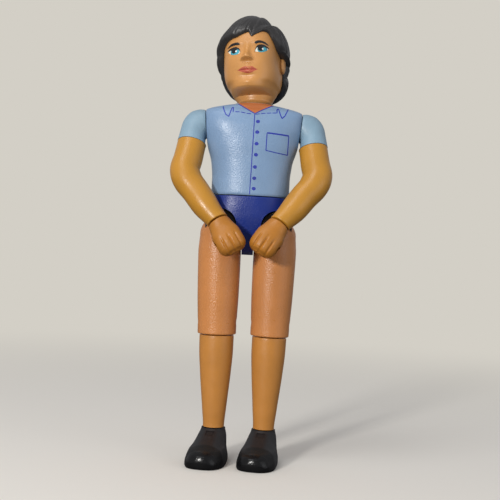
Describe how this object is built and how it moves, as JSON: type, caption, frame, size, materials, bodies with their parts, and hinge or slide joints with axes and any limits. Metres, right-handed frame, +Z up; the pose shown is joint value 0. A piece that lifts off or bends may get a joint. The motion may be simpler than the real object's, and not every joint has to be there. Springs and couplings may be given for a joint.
{
  "type": "toy figure",
  "caption": "Posable toy figure of a man in a short-sleeved shirt: waist, neck and wrists turn, head nods, shoulders, hips and knees bend, fists can grip a thin rod.",
  "frame": {"origin": "on the floor, below the middle of the figure's bounding box", "axes": "+Z up, the figure looks along -Y, its own left side is at +X"},
  "size_m": [0.0528, 0.0348, 0.1495],
  "materials": {
    "skin": "satin tan, moulded",
    "thigh": "fine matt grain, orange tan",
    "shin": "satin tan, moulded",
    "shirt": "satin pale blue with a printed shirt front",
    "sleeve": "satin grey-blue",
    "pelvis": "satin dark blue",
    "hair": "satin black, moulded strands",
    "shoe": "black, glossy toe cap",
    "hip_block": "satin black",
    "stud": "satin off-white",
    "pin": "drawn wire"
  },
  "bodies": {
    "pelvis": {"pelvis": "pelvis", "waist_stud": "stud"},
    "torso": {"torso_front": "shirt", "torso_back": "shirt"},
    "neck": {"neck_stud": "stud"},
    "head": {"head": "skin", "hair": "hair"},
    "left_arm": {"left_sleeve": "sleeve", "left_arm": "skin"},
    "left_hand": {"left_hand": "skin"},
    "left_hip": {"left_hip_block": "hip_block"},
    "left_thigh": {"left_thigh": "thigh", "left_hip_pin": "pin", "left_knee_pin": "pin"},
    "left_shin": {"left_shin": "shin", "left_shoe": "shoe"},
    "right_arm": {"right_sleeve": "sleeve", "right_arm": "skin"},
    "right_hand": {"right_hand": "skin"},
    "right_hip": {"right_hip_block": "hip_block"},
    "right_thigh": {"right_thigh": "thigh", "right_hip_pin": "pin", "right_knee_pin": "pin"},
    "right_shin": {"right_shin": "shin", "right_shoe": "shoe"}
  },
  "joints": [
    {"name": "waist", "type": "hinge", "parent": "pelvis", "child": "torso", "pos_m": [0, 0.00228, 0.0887], "axis": [0, 0, 1], "range_deg": [-15, 15]},
    {"name": "neck_turn", "type": "hinge", "parent": "torso", "child": "neck", "pos_m": [0, 0.00228, 0.125], "axis": [0, 0, 1], "range_deg": [-75, 75]},
    {"name": "head_nod", "type": "hinge", "parent": "neck", "child": "head", "pos_m": [0, 0.00228, 0.125], "axis": [0.9679, -0.2413, 0.0698], "range_deg": [-3, 15]},
    {"name": "left_shoulder", "type": "hinge", "parent": "torso", "child": "left_arm", "pos_m": [0.01585, 0.00228, 0.1126], "axis": [-0.9966, 0, 0.0819], "range_deg": [0, 140]},
    {"name": "left_wrist", "type": "hinge", "parent": "left_arm", "child": "left_hand", "pos_m": [0.01004, -0.01073, 0.07971], "axis": [-0.5227, -0.3363, -0.7834], "continuous": true},
    {"name": "left_hip_spread", "type": "hinge", "parent": "pelvis", "child": "left_hip", "pos_m": [0.0094, 0.00228, 0.0787], "axis": [0, -1, 0], "range_deg": [0, 20]},
    {"name": "left_hip_flex", "type": "hinge", "parent": "left_hip", "child": "left_thigh", "pos_m": [0.00935, 0.00228, 0.0753], "axis": [-0.9999, 0, 0.0148], "range_deg": [-20, 25]},
    {"name": "left_knee", "type": "hinge", "parent": "left_thigh", "child": "left_shin", "pos_m": [0.00892, 0.00228, 0.0462], "axis": [0.9999, 0, -0.0148], "range_deg": [0, 90]},
    {"name": "right_shoulder", "type": "hinge", "parent": "torso", "child": "right_arm", "pos_m": [-0.01585, 0.00228, 0.1126], "axis": [-0.9966, 0, -0.0819], "range_deg": [0, 140]},
    {"name": "right_wrist", "type": "hinge", "parent": "right_arm", "child": "right_hand", "pos_m": [-0.01004, -0.01073, 0.07971], "axis": [0.5227, -0.3363, -0.7834], "continuous": true},
    {"name": "right_hip_spread", "type": "hinge", "parent": "pelvis", "child": "right_hip", "pos_m": [-0.0094, 0.00228, 0.0787], "axis": [0, 1, 0], "range_deg": [0, 20]},
    {"name": "right_hip_flex", "type": "hinge", "parent": "right_hip", "child": "right_thigh", "pos_m": [-0.00935, 0.00228, 0.0753], "axis": [-0.9999, 0, -0.0148], "range_deg": [-20, 25]},
    {"name": "right_knee", "type": "hinge", "parent": "right_thigh", "child": "right_shin", "pos_m": [-0.00892, 0.00228, 0.0462], "axis": [0.9999, 0, 0.0148], "range_deg": [0, 90]}
  ]
}
